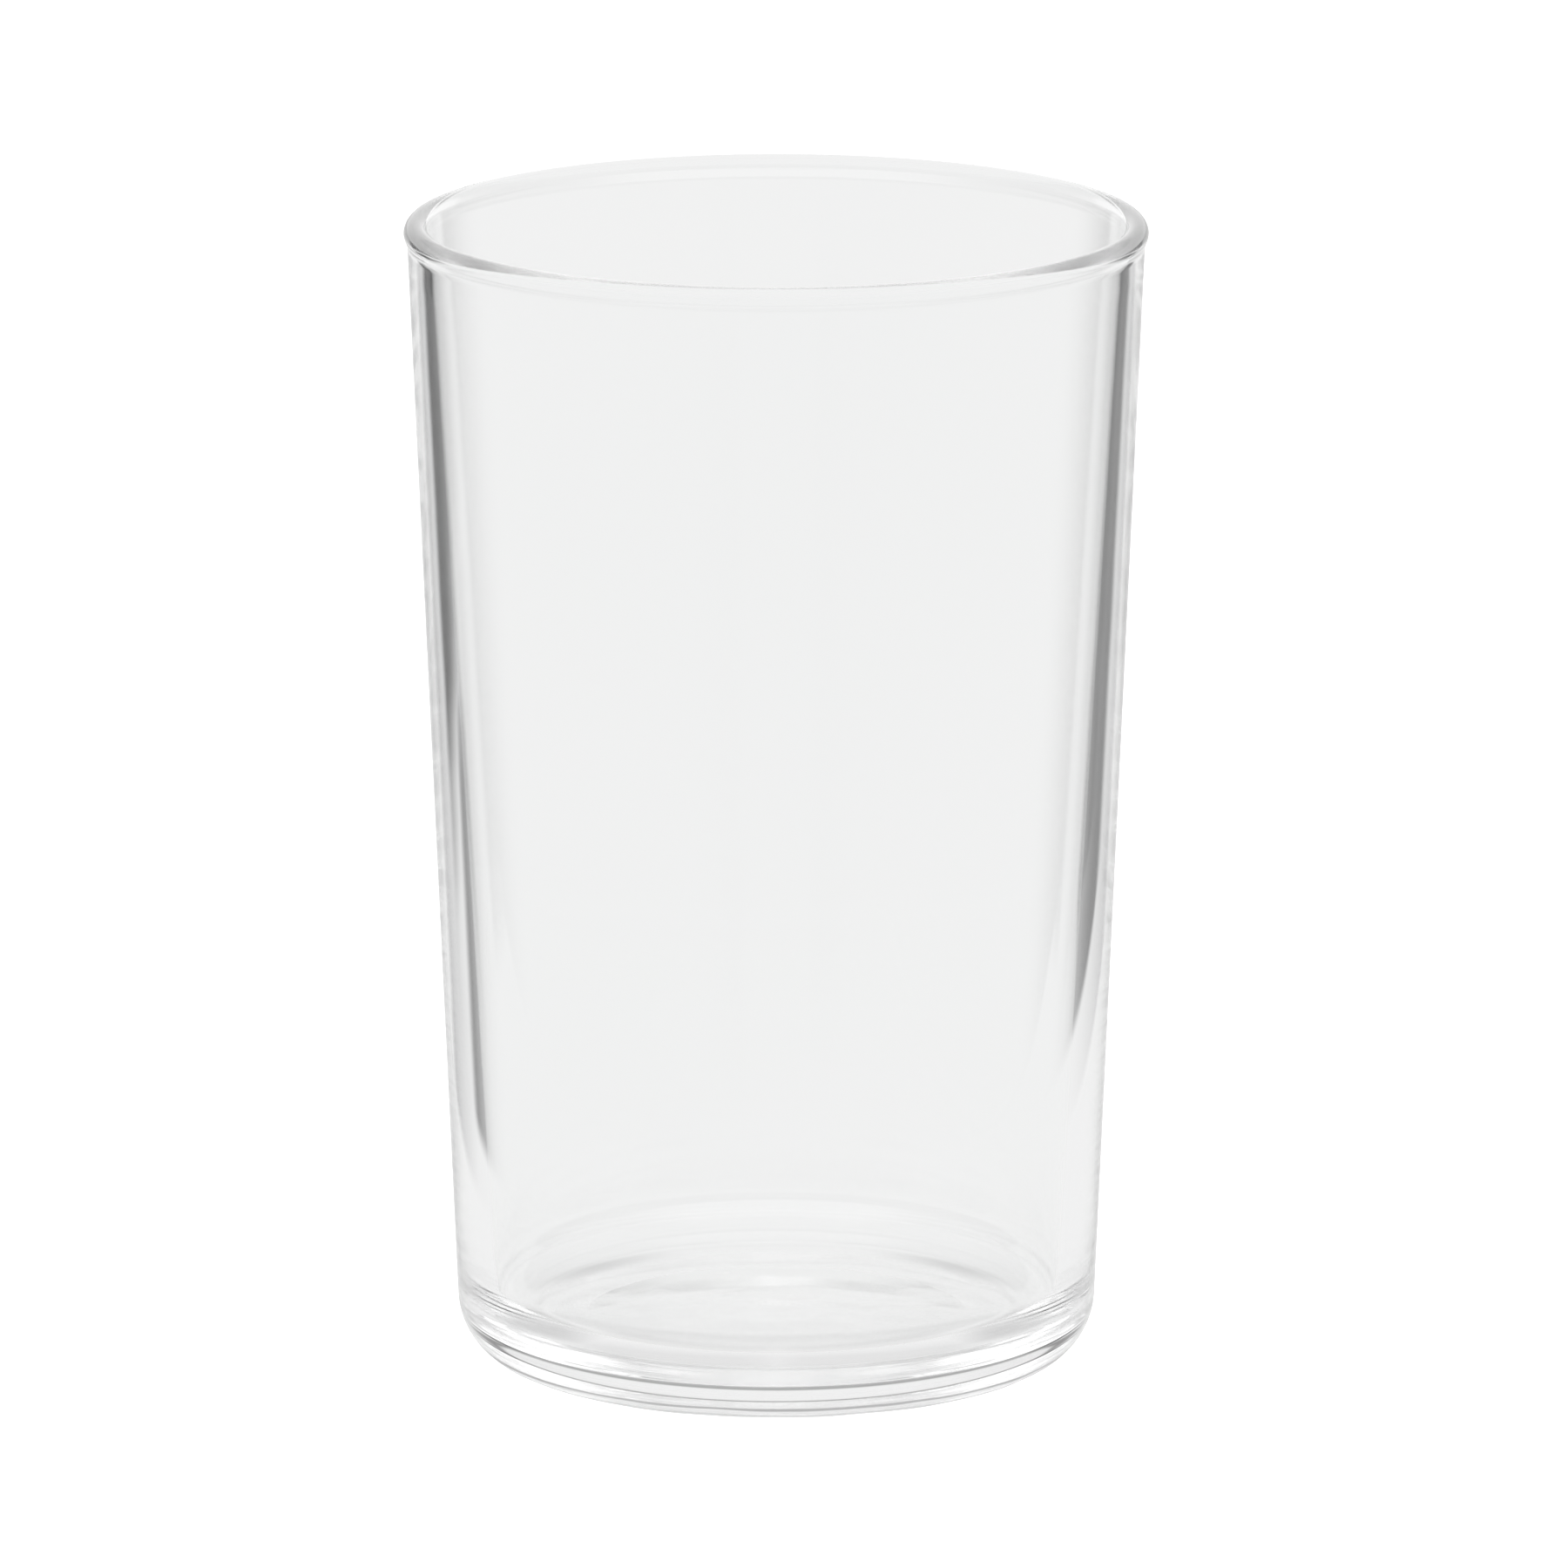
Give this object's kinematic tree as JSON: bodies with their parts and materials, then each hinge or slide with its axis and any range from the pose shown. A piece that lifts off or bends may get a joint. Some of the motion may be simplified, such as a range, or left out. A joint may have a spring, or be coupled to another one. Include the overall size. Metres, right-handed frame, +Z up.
{
  "type": "sampler glass",
  "caption": "Clear straight-sided tasting tumbler with a slight taper, a rounded beaded lip, a thick base with a soft heel and a shallow push-up underneath.",
  "frame": {"origin": "centre of the foot ring, on the table plane under the glass", "axes": "+Z up along the glass's axis of revolution; X and Y are free, because the glass is round"},
  "size_m": [0.0572, 0.0572, 0.0898],
  "materials": {
    "clear_glass": "clear, fire-polished"
  },
  "bodies": {
    "root": {"tumbler": "clear_glass"}
  },
  "joints": []
}
